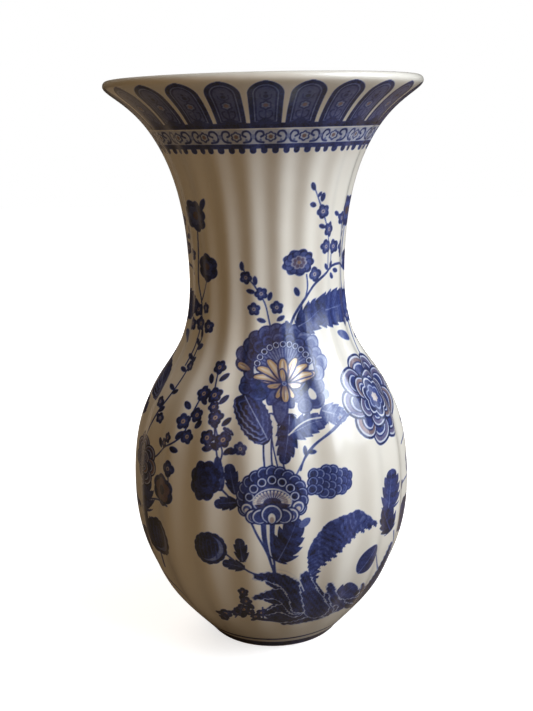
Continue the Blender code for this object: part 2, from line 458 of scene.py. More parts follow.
def neck_flowers(p):
    """The spray on the neck: a cup-shaped rose on a slanting stem, a tall twig of blossoms and a feathered
    leaf. Its middle is 25 degrees right of the front, 212 mm up."""
    stem(p, [(-8, -34), (-4, -27), (3, -18), (12, -10.5), (22, -5.5), (30, -5.5), (38, -9)], 1.2, 0.9)
    stem(p, [(1.5, -20), (3, -14), (2.5, -8)], 0.8, 0.8)
    stem(p, [(17, -8), (17, 1), (16.5, 10), (13, 20), (9, 29), (4, 37.5)], 0.7, 0.75)
    stem(p, [(20, -7), (20.5, 0), (22, 6)], 0.7, 0.7)
    stem(p, [(29, 5), (29, 12), (28, 20)], 0.7, 0.7)
    for x, y, r in (
        (12, 23, 3.5), (17, 13.6, 3.7), (15, 5, 3.5), (22.3, 4.3, 3.5), (29.6, 3.6, 3.4), (28.4, 18.3, 3.3),
    ):
        blossom(p.at(x, y, 20 * x), 1.08 * r, 0.86)
    blossom(p.at(8, -8.4, 10), 3.9, 0.84, 4)
    for x, y, tilt, size in (
        (7.6, 26.2, 75, 4.6), (10.8, 28, -10, 4.6), (5.8, 34, 35, 5), (8.2, 30.5, -40, 3.2),
        (13.8, 14.8, 70, 4), (25.5, 20, 60, 4), (30, 9, -70, 5), (34, 12, -20, 4), (16.5, -7, 35, 4),
        (19, -6.5, -30, 4), (19.4, -9, -140, 4.2), (22, -7.5, -110, 4), (-2, -18.5, 20, 4.8),
    ):
        leaflet(p.at(x, y, tilt), size, size * 0.56, 0.84)
    rose(p.at(-1.5, -1.6, 5, 14))
    toothed_leaf(p.at(6, -27.0, -93, 40), 37, 20.0, -0.10, 7, 0.76, 0.2, 0.12, 0.40)
    toothed_leaf(p.at(-4, -34.0, -66, 26), 19, 17, -0.05, 4, 0.80, 0.28, 0.12, 0.55)
    for x, y, tilt in (
        (-8, -34.5, 20), (-14, -30, -60), (-19.5, -30.5, 70), (-30.5, -5, 5), (-23.6, -12, 5),
        (-24, -15.6, 80), (-17.5, -20, -20),
    ):
        leaflet(p.at(x, y, tilt), 4.6, 2.3, 0.85)
    stem(p, [(-17, -38), (-18, -29), (-19.5, -21), (-24, -12.5), (-28, -8), (-30, -4)], 0.65, 0.85)
    for x, y in ((-28.6, -8.4), (-21, -16.4), (-25, -24), (-13.6, -23.4)):
        blossom(p.at(x, y, 3 * y), 3.4, 0.9)


def rose(p):
    """A cup-shaped rose seen from the side: scalloped outer petals, a paler inner cup and a speckled
    heart."""
    p.ink(p.scallop(9.2, 9, 0.16, 0.74, 20), 0.84)
    for angle in range(-150, 180, 36):
        across, up = ray(angle)
        x, y = 5.6 * across, 3.9 * up
        p.spots((x, y, 2.5, 0.98), (x * 0.98, y * 0.98, 2.0, 0.68), squash=0.85)
    p.ink(p.scallop(4.4, 7, 0.2, 0.8), 0.34, 0.15)
    for angle in range(0, 360, 51):
        across, up = ray(angle)
        p.spots((2.4 * across, 1.9 * up, 0.85, 0.75, 0.2))
    p.spots((0, 0, 0.9, 0.5, 0.6))


def great_flower(p):
    """The great flower on the shoulder: a dark scalloped crown, a fan of beads, gilded inner petals that
    open like a lotus, and leaves round its calyx. Its middle is 5 degrees right of the front, 155 mm up."""
    for edge, blue in ((2.3, 0.88), (1.5, 0.06)):
        p.ink(p.line([(-7.5, -46), (-7.8, -38), (-7.2, -30), (-5, -20)], 2 * edge), blue)
        p.ink(p.line([(-1.2, -46), (-3.4, -34), (-3.6, -26), (-1.4, -16)], 2 * edge * 0.8), blue)
    stem(p, [(8, -46), (10.5, -40), (15, -35.5), (22, -31), (31, -26), (38, -23)], 0.9, 0.82)
    leaflet(p.at(11, -39.5, 5), 5, 2.2, 0.82)
    leaflet(p.at(12.4, -38, -95), 4.6, 2.2, 0.82)
    shell_leaf(p.at(-13.6, -20.5, 24, 20))
    toothed_leaf(p.at(4, -18, 174, 26), 25, 12, 0.06, 5, 0.9, 0.34)
    toothed_leaf(p.at(3.5, -28.0, -68, 26), 20, 13, 0.12, 5, 0.66)
    p.ink(p.line([(3, -28.5), (8, -24.5), (14, -22.4), (20, -21.8)], 0.8), 0.05)
    toothed_leaf(p.at(20, -18, -112, 22), 17, 11, 0.0, 4, 0.5)
    leaflet(p.at(24, -13, 10), 5.5, 4.5, 0.35)
    blossom(p.at(31, -23.5), 3.2, 0.5)
    for x, y, r in ((11, -8, 5.8), (18.0, -12.5, 4.8), (12.5, -15, 4.2), (19, -5.5, 4.6)):
        p.spots((x, y, r, 0.8), (x, y, r - 0.7, 0.6), (x, y, r - 1.6, 0.72))
    q = p.at(17.6, -12.4, 20)
    q.ink(q.petal(6.5, 3.6, 0.4), 0.04)
    crown = (
        (-17.4, 7.6, 4.0), (-16.6, 12.4, 4.4), (-12.4, 16.6, 4.6), (-9.6, 20.6, 4.2), (-4.6, 22.6, 4.4),
        (0.6, 24.2, 4.0), (5.2, 24.0, 4.2), (10.2, 22.6, 4.4), (14.6, 19.2, 4.2), (18.6, 16.4, 4.6),
        (20.2, 10.6, 4.4), (23.2, 6.0, 4.6), (20.4, 1.4, 4.4), (-12.6, 4.4, 5.0), (-14.6, -2.4, 4.8),
        (-10.4, -6.0, 5.6), (-17.0, -5.0, 3.4),
    )
    # The crown's blue pales towards the right: a painted highlight where the window light and its reflection
    # fall, laid over the printed dark crown
    for x, y, r in crown:
        shade = 0.84 - 0.012 * max(0, x + 2)
        p.spots((x, y, r, shade + 0.14), (x, y, r - 0.6, shade - 0.16))
        p.spots((x * 0.95, y * 0.95, r - 1.4, shade + 0.02))
    # The disc under the fan also pales towards the right: a painted highlight on the printed blue
    p.ink(p.disc(1, 6, 17.0, 0.98), 0.84 - 0.006 * np.clip(p.x + 8, 0, 30))
    for angle in range(-100, 101, 20):
        across, up = ray(angle)
        x, y = 1.5 + 15.5 * across, 5 + 15 * up
        p.spots((x, y, 3.6, 0.92), (x, y, 2.9, 0.66), (1.5 + 15.0 * across, 5 + 14.5 * up, 2.2, 0.86))
    fan_x, fan_y = 3.2, 3.6
    p.spots((fan_x, fan_y, 15.8, 0.9))
    p.ink(np.maximum(p.disc(fan_x, fan_y, 15.2), 2 - p.y), 0.12)
    p.spots((fan_x, fan_y, 12.6, 0.46))
    for angle in range(-78, 79, 8):
        across, up = ray(angle)
        ends = [(fan_x + far * across, fan_y + far * up) for far in (7.5, 12.0)]
        p.ink(p.line(ends, 0.45, 0.95), 0.74)
    for angle in range(-70, 71, 14):
        across, up = ray(angle)
        ringed(p, fan_x + 14.0 * across, fan_y - 0.2 + 14.2 * up, 2.0, 0.96, 0.02)
    p.ink(p.disc(2, -1, 11, 0.8), 0.74)
    for tilt, length, width in ((208, 12, 7), (176, 19, 8), (142, 11, 7), (238, 11, 7)):
        q = p.at(0.5, -5, tilt, 24)
        edge = q.petal(length, width, 0.45, 1.1)
        q.ink(edge, 0.84)
        q.ink(edge + 0.8, 0.66)
    for tilt, length, width, bend in (
        (82, 14.5, 3.8, 0.16), (-84, 16.5, 4.6, -0.14), (58, 14.6, 3.9, -0.30), (-58, 14.6, 3.9, 0.30),
        (40, 14.8, 4.2, -0.26), (-40, 14.8, 4.2, 0.26), (22, 14.2, 4.4, -0.14), (-22, 14.2, 4.4, 0.14),
        (0, 12.8, 4.8, 0.0), (112, 8.4, 3.0, 0.2), (-114, 8.4, 3.0, -0.2), (150, 8.6, 2.8, 0.0),
        (-152, 8.6, 2.8, 0.0), (180, 9.6, 4.0, 0.0), (6, 7.4, 3.0, 0.0),
    ):
        gilt_petal(p.at(2.6, -2.6, tilt, 20), length, 0.88 * width, bend)
    ringed(p, 2.6, -2.6, 1.3, 0.7, 0.2)
    gilt_petal(p.at(-13.5, 5.0, 70, 10), 7.0, 3.6)


def shell_leaf(p, length=27.0, width=17.0):
    """A broad leaf drawn as nested outlines, darkest towards its upper end."""
    q = p.at(0, -length / 2, 0, 60)
    tooth = 0.5 * np.abs(np.sin(1.1 * q.y))
    edge = q.petal(length, width, 0.58, 0.8) + tooth
    depth = np.clip(0.80 + 0.01 * p.y, 0.6, 0.95)
    q.ink(edge, 0.92)
    wave = np.clip(np.cos(2 * math.pi * (edge - 0.22 * (q.y - 0.6 * length)) / 2.3) - 0.2, -0.6, 0.8)
    q.ink(edge + 0.7, np.clip(depth - 0.55 * wave * np.clip(0.5 - q.x / 9, 0.25, 1), 0.2, 1))
    q.ink(np.maximum(np.abs(q.x - 1.5) - 0.3, edge + 1.0), 0.3)


def fan_flower(p):
    """The fan-shaped flower on the belly: scallops with pale rims, a row of ringed beads, a band of small
    gilded strokes and a cup. Its middle is 2 degrees left of the front, 98 mm up."""
    for angle in range(-112, 120, 16):
        across, up = ray(angle)
        x, y = 2.8 + 14.6 * across, 2.0 + 13.2 * up
        p.spots((x, y, 3.5, 0.96), (x, y, 2.8, 0.24), (x, y, 2.3, 0.82))
    p.spots((2.8, 1.6, 14.2, 0.92), (2.8, 1.6, 13.2, 0.78), squash=0.9)
    for angle in range(-78, 79, 26):
        across, up = ray(angle)
        ringed(p, 2.8 + 11.2 * across, 1.4 + 10.0 * up, 2.8, 0.94, 0.12, 0.99)
    p.ink(p.disc(2.8, 1.0, 9.6, 0.66), 0.06)
    p.ink(p.disc(2.8, 1.0, 9.0, 0.62), 0.9, 0.05)
    for angle in range(-96, 97, 12):
        across, up = ray(angle)
        pale = [(2.8 + 4.6 * across, 0.4 + 2.4 * up), (2.8 + 8.7 * across, 0.6 + 5.2 * up)]
        gilt = [(2.8 + 5.8 * across, 0.6 + 3.2 * up), (2.8 + 7.4 * across, 0.6 + 4.4 * up)]
        p.ink(p.line(pale, 0.5, 1.3), 0.05, 0.12)
        p.ink(p.line(gilt, 0.3, 0.45), 0.6, 0.5)
    p.ink(p.disc(2.8, -0.4, 4.2, 0.5), 0.92, 0.05)
    for x, y, r in ((-9.6, -2.4, 3.4), (15.4, -2.0, 3.6), (-6.6, -6.2, 4.0), (11.8, -6.0, 4.2)):
        p.spots((x, y, r, 0.88), (x, y, r - 0.8, 0.08), (x, y - 0.3, r - 1.5, 0.7))
        p.spots((x, y - 0.9, r * 0.34, 0.1, 0.25))
    for x, y, r in ((-3.2, -6.4, 4.6), (8.2, -6.4, 4.6), (2.4, -5.6, 5.8)):
        p.spots((x, y, r, 0.94), (x, y - 0.2, r - 0.8, 0.12), (x, y - 0.4, r - 1.5, 0.78), squash=0.95)
    p.ink(p.disc(2.4, -7.8, 2.6, 1.3), 0.95)
    p.spots((2.4, -7.9, 1.9, 0.06), (2.4, -8.8, 1.1, 0.3, 0.5), squash=1.4)


def front_belly(p):
    """What stands round the fan flower: its stems, buds on the left, a cone and small flowers. Measured from
    2 degrees left of the front, 98 mm up."""
    p.ink(p.line([(-1.8, -10), (-1.2, -20), (1.6, -30), (3, -38)], 2.6, 1.6), 0.76)
    p.ink(p.line([(2.6, -10), (2.2, -20), (2.6, -30), (3, -38)], 2.6, 1.6), 0.76)
    p.ink(p.line([(0.4, -12), (0.8, -22), (2.4, -33)], 1.6, 0.5), 0.06)
    stem(p, [(-25, 8), (-18, 1.5), (-10, -5), (-5, -16), (-0.5, -26), (2, -35)], 0.95, 0.85)
    stem(p, [(14, 13), (19, 21), (25, 27), (32, 32)], 0.9, 0.66)
    stem(p, [(17, 2.5), (21, 5.5), (25, 8)], 0.8, 0.7)
    stem(p, [(1.4, 16), (1.2, 24), (1.4, 34)], 0.8, 0.75)
    stem(p, [(-24.5, 16), (-22, 24), (-24, 31), (-26, 40)], 0.7, 0.88)
    toothed_leaf(p.at(-23.5, 5, 3, 20), 17, 6.0, 0.0, 3, 0.74, 0.2)
    toothed_leaf(p.at(-15.5, 4, 12, 20), 15, 8.6, 0.0, 3, 0.88, 0.3, 0.1, 0.55)
    q = p.at(-31.5, 9.5, -22, 16)
    q.ink(q.scallop(8.4, 8, 0.14, 1.3), 0.99)
    q.ink(q.scallop(6.0, 6, 0.2, 1.3), 0.88)
    q.ink(q.disc(0.5, 1, 3.6, 1.1), 0.99)
    for x, y, tilt, length, width in (
        (-14, 0.2, 100, 12, 6.5), (-12.6, -31.5, 6, 12.5, 6.8), (-11.5, -34.6, 86, 11.5, 6.2),
        (-16, 33, 60, 6, 2.4),
    ):
        toothed_leaf(p.at(x, y, tilt, 18), length * 1.05, width * 1.2, 0.0, 3, 0.95, 0.34, 0.06, 0.5)
    stem(p, [(-21.5, -28.5), (-15, -33), (-9, -37), (-2, -40)], 0.9, 0.85)
    blossom(p.at(-12.4, 26.8), 3.5, 0.84)
    berry(p.at(-30, -25.8, 0, 14))
    cone(p.at(32.6, 8.2, -96, 16))
    toothed_leaf(p.at(4.6, -31.5, -28, 30), 26, 16, -0.08, 5, 0.88, 0.34)
    leaflet(p.at(15.5, -12.5, -60), 7, 4, 0.6)


def berry(p):
    """A round fruit: dark, with a paler crescent and short curved strokes."""
    radius = 9.2
    p.ink(p.scallop(radius, 14, 0.05), 0.98)
    p.ink(np.maximum(p.disc(0, 0, radius * 0.78), -p.disc(-2.2, 1.0, radius * 0.78)), 0.5)
    for k in range(5):
        p.ink(p.line([(-5 + 2 * k, 5.5 - 0.4 * k), (-5.4 + 2.2 * k, 0), (-4.2 + 2 * k, -5)], 0.5), 0.78)


def cone(p):
    """A seed cone: rows of round scales one over the other, each with a pale edge, darker from row to
    row."""
    length, width = 22.0, 15.0
    for row, many in enumerate((2, 3, 3, 4, 4, 3, 3)):
        y = length * (0.44 - 0.145 * row)
        edge, scale = 0.35 if row > 1 else 0.55, 0.74 + 0.03 * row
        for k in range(many):
            x = (k - (many - 1) / 2) * width * 0.25
            p.spots((x, y, 2.9, 0.96), (x, y + 0.1, 2.3, edge), (x, y + 0.1, 1.8, scale), squash=1.1)


def left_sprays(p):
    """Sprays of blossoms and the flowers that turn away to the left, measured from 42 degrees left, 110 mm
    up."""
    stem(p, [(11, 54), (12.5, 47), (15, 38), (19, 30), (22, 20), (25, 10), (27, 2)], 0.7, 0.94)
    stem(p, [(8, 44), (6, 34), (4.5, 26), (3, 18), (-2, 13), (-9, 9), (-16, 3), (-22, -1)], 0.8, 0.94)
    for x, y, r in (
        (11.2, 55, 3.6), (7.6, 40, 4.0), (14.6, 40.4, 4.0), (8.2, 28.6, 3.7), (1.2, 24.4, 4.0),
        (5.4, 17.0, 3.6), (19.6, 29, 3.8), (18.2, 18.8, 3.9), (26.4, 18.2, 4.0), (-7, 14.5, 2.6),
        (-10, 11, 2.4), (16.6, 34.4, 2.8),
    ):
        blossom(p.at(x, y, 11 * x), 1.08 * r, 0.98, 5, 0.66)
    for x, y, tilt in (
        (10, 46, 30), (14, 48, -40), (12, 35, 60), (19, 36, -30), (22, 24, 50), (25, 13, 50), (28, 11, -50),
        (3, 31, 50), (9, 22, -40), (-1, 15, -40), (-4, 10, -100), (-12, 8, 40), (24, 25, -40),
        (30, 12, -70), (22, 14, 100),
    ):
        leaflet(p.at(x, y, tilt), 5.6, 3.0, 0.96)
    blossom(p.at(-3.8, -0.8), 4.4, 0.92, 4)
    stem(p, [(-3.8, -2), (-3, -8), (-4, -14)], 0.7, 0.9)
    q = p.at(-9.0, -13.2, 0, 14)
    q.ink(q.scallop(9.4, 6, 0.12, 0.9), 0.95)
    q.ink(q.scallop(7.2, 5, 0.2, 0.9), 0.80, 0.3)
    q.ink(q.disc(0, 0, 2.6), 0.98)
    stem(p, [(-4, -20.5), (-12, -20), (-22, -22), (-34, -27)], 0.8, 0.9)
    berry(p.at(-17, -42, 0, 16, 1.2))
    leaflet(p.at(-24, -21, 130, 12), 8, 4, 0.9)


def left_flower(p):
    """A striped flower, two broad leaves and the long leafy twig that climbs to the neck, all at the left
    edge, measured from 42 degrees left, 110 mm up."""
    striped_flower(p.at(-31, -3, 20, 20, 0.72), 0.92)
    shell_leaf(p.at(-37, 40, 30, 24), 26, 20)
    toothed_leaf(p.at(-44, 18, 20, 24), 18, 12, 0.0, 5, 0.85)
    twig = [(-6, 68), (-8.5, 61), (-10.5, 52), (-13, 43), (-16, 35), (-20.5, 26), (-25, 17), (-30, 8)]
    stem(p, twig, 0.9, 0.94)
    for x, y, tilt in (
        (-7, 64, 50), (-8, 62, -50), (-9.6, 56, 60), (-10, 54, -40), (-11.6, 49, 70), (-15, 38, 60),
        (-15.5, 36, -60), (-19, 29, 70), (-21, 25, -50), (-6, 68, 10),
    ):
        leaflet(p.at(x, y, tilt), 5.0, 2.4, 0.95)
    for x, y, r in ((-9.5, 52.5, 3.0), (-22, 30, 3.2), (-18.5, 22, 3.0)):
        blossom(p.at(x, y, 20 * x), r, 0.97)


def striped_flower(p, blue=0.78):
    """A big open flower: nine outer petals and six inner ones, each drawn as rings one inside the other,
    round a heart of nested scalloped rings. Every third petal has more gilding."""
    for ring, many, far, r in ((0, 9, 13.2, 6.9), (1, 6, 7.6, 5.4)):
        for k in range(many):
            across, up = ray(360 * (k + 0.37 * ring) / many)
            x, y, gilt = far * across, far * up, 0.42 if (k + ring) % 3 == 0 else 0.16
            rings = (
                (1, 0, blue + 0.2), (1, 0.9, 0.12), (0.97, 1.4, blue - 0.16, gilt), (0.94, 2.6, blue + 0.18),
                (0.93, 3.1, 0.18), (0.9, 3.6, blue),
            )
            p.spots(*((x * share, y * share, r - less, *inks) for share, less, *inks in rings))
    heart = ((7.4, blue + 0.2), (6.6, 0.08), (5.9, blue + 0.12), (4.2, 0.3), (3.6, blue), (1.6, 0.2, 0.4))
    for radius, *inks in heart:
        p.ink(p.scallop(radius, 6, 0.24, 1.35), *inks)


def right_flower(p):
    """The striped flower and its stalk, measured from 42 degrees right, 110 mm up."""
    striped_flower(p.at(18.5, 31.0, 8, 34, 1.25))
    stem(p, [(-24, 18), (-14, 24), (-6, 27), (0, 27)], 0.8, 0.7)


def right_belly(p):
    """The feather leaf and the toothed leaves that turn away to the right, measured from 42 degrees right,
    110 mm up."""
    feather(p)
    toothed_leaf(p.at(21, -43, 32, 26), 20, 17, 0.02, 4, 1.0, 0.36, 0.1, 0.5)
    toothed_leaf(p.at(17.5, -29.5, -6, 24), 21.5, 21, 0.05, 4, 0.82, 0.4, 0.12, 0.36)
    stem(p, [(24, -44), (26, -52), (24, -62)], 0.9, 0.8)


def feather(p):
    """A long leaf like a plume: it rises from its stalk and sweeps to the right, with a fringe along its
    lower edge. Its middle line is drawn first as a curve and its width follows the run along it."""
    spine = np.array([(-29, -58), (-31.5, -49), (-28.5, -39.5), (-20.5, -32), (-9.5, -29), (4.5, -33)], float)
    t = np.linspace(0, 5, 60)
    path = np.stack([np.interp(t, range(6), spine[:, k]) for k in (0, 1)], 1)
    widths = np.interp(t, range(6), (1.4, 8.0, 17.0, 19.5, 14.0, 0.8))
    best, share, side = np.full(p.x.shape, 1e3), np.zeros(p.x.shape), np.zeros(p.x.shape)
    for k in range(len(path) - 1):
        a, b = path[k], path[k + 1]
        run = b - a
        along = np.clip(((p.x - a[0]) * run[0] + (p.y - a[1]) * run[1]) / (run @ run), 0, 1)
        dx, dy = p.x - a[0] - along * run[0], p.y - a[1] - along * run[1]
        away = np.hypot(dx, dy) - widths[k] / 2
        closer = away < best
        best = np.where(closer, away, best)
        share = np.where(closer, k + along, share)
        side = np.where(closer, np.sign(run[0] * dy - run[1] * dx) * np.hypot(dx, dy), side)
    comb = np.sin(share * 1.5 + 0.45 * side)
    edge = best + np.where(side < 0, 2.0, 0.6) * (0.5 + 0.5 * comb)
    streaks = 0.09 * np.sin(share * 2.1 + 0.5 * side + 0.6) + 0.06 * np.sin(share * 5.3 + 1.1 * side)
    p.ink(edge, np.clip(0.80 + streaks - 0.05 * np.sin(share * 0.16), 0.5, 1))


def blade(p, points, start, end, blue):
    """A streaked leaf along a curve, with a pale edge that sets it off from what lies behind."""
    ragged = 0.30 * np.sin(1.7 * p.x + 1.5 * p.y) + 0.16 * np.sin(2.4 * p.y - 1.9 * p.x)
    edge = p.line(points, start, end) + ragged
    p.ink(edge - 0.7, 0.2)
    lean = np.sin(2.2 * p.x + 1.3 * p.y) + 0.6 * np.sin(4.6 * p.x - 0.9 * p.y)
    p.ink(edge, np.clip(blue + 0.07 * lean, 0.3, 1))


def ground(p):
    """The tussock that the plant grows from: overlapping blades with pale edges, a small leaf on the right
    and a few low florets, measured from 10 degrees right of the front, 45 mm up."""
    p.ink(np.maximum(p.disc(8, -13, 24, 0.5), -(p.y + 26)), 0.96)
    p.ink(p.line([(-19, -18), (-6, -22), (6, -24.5), (20, -22), (34, -13), (41, -6)], 2.4, 3.0), 0.96)
    for points, start, end in (
        ([(-13, 11), (-3, 5), (4, -8)], 7.0, 18.0), ([(-14, -1), (-4, -5), (4, -13)], 6.0, 17.0),
        ([(-8, -12), (2, -15), (12, -17)], 6.0, 15.0), ([(6, 6), (10, -6), (14, -16)], 8.0, 18.0),
    ):
        p.ink(p.line(points, start, end), 0.97)
    stem(p, [(9, 0), (8.8, 8), (7.4, 18)], 1.8, 0.88)
    toothed_leaf(p.at(12.5, -21, -50, 36), 29, 23, 0.0, 4, 0.84, 0.30, 0.16, 0.52)
    for points, start, end, blue in (
        ([(17.5, 4), (19, -4), (22, -13), (26, -18)], 3.0, 11.0, 0.88),
        ([(-14, -13), (-7, -9.5), (1, -13)], 3.5, 9.0, 0.95),
        ([(-5, -24), (8, -23), (22, -19)], 2.0, 8.0, 0.94),
        ([(-20.5, 0), (-12, 1.5), (-4, -1), (2, -9)], 3.0, 13.0, 0.92),
        ([(16, -3), (16.5, -12), (19, -20)], 2.0, 8.0, 0.9),
        ([(-20.5, 14), (-13, 13), (-5, 9), (1, 1), (4, -8)], 3.5, 13.0, 0.92),
        ([(3.5, 13), (5.5, 4), (9, -6), (12.5, -16)], 5.0, 13.0, 0.86),
    ):
        blade(p, points, start, end, blue)
    p.ink(p.line([(-14, 17.8), (-6, 17), (0, 11.5), (3.4, 3)], 0.9, 0.6), 0.06)
    leaflet(p.at(35.5, 5.5, -38, 26), 19, 12.0, 0.88, 0.5)
    stem(p, [(48, 14), (54, 2), (60, -20)], 1.0, 0.7)
    for x, y, r in (
        (-27.5, 3, 2.6), (-26, -3.5, 3.0), (-27, -11, 3.8), (-36.5, -17, 3.6), (-17, -12.5, 2.8),
        (-30, -15, 3.0), (-37, -22, 2.6), (-20, -16, 2.4), (-23, -13, 2.2),
    ):
        blossom(p.at(x, y, 31 * x), 1.2 * r, 0.98, 5, 0.85)
        leaflet(p.at(x + 1, y - 1, 47 * x), 2.0 * r, r, 0.98)
    stem(p, [(-27, 4), (-27, -8), (-31, -20)], 0.8, 0.95)
    stem(p, [(-17, -8), (-16, -18)], 0.8, 0.9)


def low_right(p):
    """The right-hand end of the tussock: a flat dark mound and broad blades that rise from it, measured from
    45 degrees right, 50 mm up."""
    p.ink(np.maximum(p.disc(14, -24, 19, 0.45), -(p.y + 33)), 0.97)
    for points, start, end, blue in (
        ([(34, -4), (28, -16), (18, -28)], 2.0, 10.0, 0.95),
        ([(38, -16), (30, -24), (20, -30)], 2.0, 8.0, 0.98),
        ([(27, 4), (24, -12), (16, -28)], 2.5, 11.0, 1.0), ([(-6, -20), (2, -23), (10, -28)], 2.0, 8.0, 0.97),
        ([(0, -10), (5, -18), (10, -28)], 2.0, 9.0, 0.95),
        ([(20, 8), (17, -6), (13, -20), (10, -30)], 2.5, 11.0, 0.98),
    ):
        blade(p, points, start, end, blue)


def far_left_neck(p):
    """Two flowers on the left of the neck, with their stems, a spray of blossoms and two leaves, measured
    from 45 degrees left, 205 mm up."""
    q = p.at(-7.5, 28.5, -25, 14)
    q.ink(q.scallop(9.4, 7, 0.16, 0.85), 0.86)
    q.ink(q.scallop(6.0, 6, 0.22, 0.85), 0.66)
    q.ink(q.disc(0, 0, 2.2), 0.94, 0.2)
    leaflet(p.at(-2, 31, -35, 10), 8, 3.2, 0.8)
    q = p.at(-1.6, 2.4, 0, 10)
    q.ink(q.scallop(7.4, 6, 0.14), 0.92)
    q.ink(q.scallop(4.4, 5, 0.22), 0.68)
    q.ink(q.disc(0.5, 0.6, 1.8), 0.9, 0.2)
    stem(p, [(-8, 20), (-9, 8), (-10, -6), (-7, -20), (-8, -36), (-11, -50)], 0.8, 0.78)
    stem(p, [(-2, -4), (-5, -10), (-8, -16)], 0.7, 0.8)
    for x, y, r in (
        (-10, -20, 3.8), (0.5, -27.5, 3.6), (-7, -27, 3.8), (-3, -18.5, 3.0), (-14, -28, 3.6), (-14, 8, 3.2),
    ):
        blossom(p.at(x, y, 20 * x), r, 0.86)
    leaflet(p.at(-6, -40, -60), 6, 3, 0.8)
    leaflet(p.at(-16, -38, 60, 12), 10, 5, 0.6)


WHOLE = 2000.0  # a reach that takes in the whole wall


def floret(p, y, radius, blue, pale):
    """A six-petalled floret of the border: a scalloped rim and a paler one inside it."""
    q = p.at(0, y, reach=WHOLE)
    q.ink(q.scallop(radius, 6, 0.22), blue)
    q.ink(q.scallop(radius - 0.9, 6, 0.22), pale)


def border(band, arch, pair, dentil):
    """The printed border under the mouth, from the lip down: a plain cream band, round arches that each hold
    a floret, a dark line, a pale band of paired scrolls, another dark line and a row of teeth. Its y runs up
    from the foot of the arches; each argument repeats its x round the mouth at its own pitch."""
    top, round_top, scrolls = 28.2, 8.3, -6.2
    high = np.clip(arch.y - top + round_top, 0, None)
    spread_x = arch.x / (0.84 + 0.0075 * np.clip(arch.y, 0, None))
    edge = np.maximum(np.hypot(spread_x, high) - round_top, -arch.y)
    arch.ink(edge, 0.88)
    inside = np.hypot(spread_x, high * 0.94) - 6.0
    arch.ink(np.maximum(inside, 2.0 - arch.y), 0.38)
    arch.ink(np.maximum(inside + 0.6, 2.4 - arch.y), 0.82)
    arch.ink(np.maximum(inside + 1.5, 3.0 - arch.y), 0.58, 0.02)
    arch.ink(arch.line([(-8.6, 0.4), (0, 0.2), (8.6, 0.4)], 2.0), 0.88)
    arch.ink(arch.petal(4.6, 8.5, 0.2), 0.84)
    for side in (-1, 1):
        arch.ink(arch.line([(0, 3.5), (side * 2.6, 5.2), (side * 3.0, 8.0), (side * 1.6, 8.6)], 0.7), 0.84)
        arch.ink(arch.line([(0, 15.8), (side * 2.2, 17.0), (side * 2.6, 19.4)], 0.6), 0.8)
    arch.ink(arch.line([(0, 3.5), (0, 9.0)], 0.6), 0.8)
    floret(arch, 12.2, 3.1, 0.8, 0.42)
    arch.spots((0, 12.2, 1.1, 0.6, 0.45), (0, 18.2, 1.2, 0.9), (0, 20.6, 0.7, 0.9), (0, top - 0.2, 1.0, 0.88))
    band.ink(np.abs(band.y + 0.5) - 1.0, 0.92)
    band.ink(np.abs(band.y - scrolls) - 4.1, 0.2)
    scroll = [(3.6, -9.3), (6.8, -8.6), (8.0, -6.0), (6.8, -3.4), (4.4, -3.4), (3.6, -5.2), (5.0, -6.2)]
    for side in (-1, 1):
        q = Patch(side * 1.1 * pair.x, pair.y, pair.blue, pair.gold)
        q.ink(q.line(scroll, 1.0), 0.84)
        q.spots((5.2, -8.0, 0.7, 0.5))
        q.ink(q.line([(9.2, -3.4), (9.2, -9.2)], 0.5), 0.3)
        q.spots((9.3, scrolls, 1.5, 0.42))
    floret(pair, scrolls, 2.9, 0.74, 0.16)
    pair.spots((0, scrolls, 1.0, 0.7, 0.45))
    band.ink(np.abs(band.y + 11.3) - 1.15, 0.86)
    tooth = np.maximum(np.hypot(dentil.x, np.clip(-13.6 - dentil.y, 0, None)) - 1.5, dentil.y + 11.5)
    dentil.ink(tooth, 0.86)


def foot_bands(band):
    """Above the ring: a navy band, a bare cream one and a thin line, laid on by hand and so a little askew:
    they rise with 1 - cos(turn + 20 degrees)."""
    askew = 2.0 * (1 - np.cos(TURNS + math.radians(20)))[None, :]
    band.ink(band.y - 5.4 - askew, 0.98)
    band.ink(np.abs(band.y - 10.2 - 1.5 * askew) - 0.95, 0.92)


# The wall as a grid: its columns stand at turns from the front, and its rows follow the outline by the step,
# in millimetres, with one row on the seam at the waist
COLUMNS, STEP = 1080, 0.41
EVEN_TURNS = np.linspace(-math.pi, math.pi, COLUMNS, endpoint=False)
TURNS = EVEN_TURNS - 0.2 * np.sin(EVEN_TURNS)  # closer together at the front
UNDERSIDE = FOOT_HEIGHT + 0.15
JOINT_RUN, FOOT_RUN = run_at(WAIST_HEIGHT), run_at(UNDERSIDE)
RUNS = np.concatenate(
    [
        np.linspace(FOOT_RUN, JOINT_RUN, round((JOINT_RUN - FOOT_RUN) / STEP) + 1),
        np.linspace(JOINT_RUN, RUN[-1], round((RUN[-1] - JOINT_RUN) / STEP) + 1)[1:],
    ]
)
PLACES, WAYS = wall(RUNS)
BLUE = np.zeros((len(RUNS), COLUMNS), np.float32)
GOLD = np.zeros_like(BLUE)


def row_at(height):
    """The first row of the wall's grid at or above that height."""
    return int(np.searchsorted(RUNS, run_at(height) - 0.01))


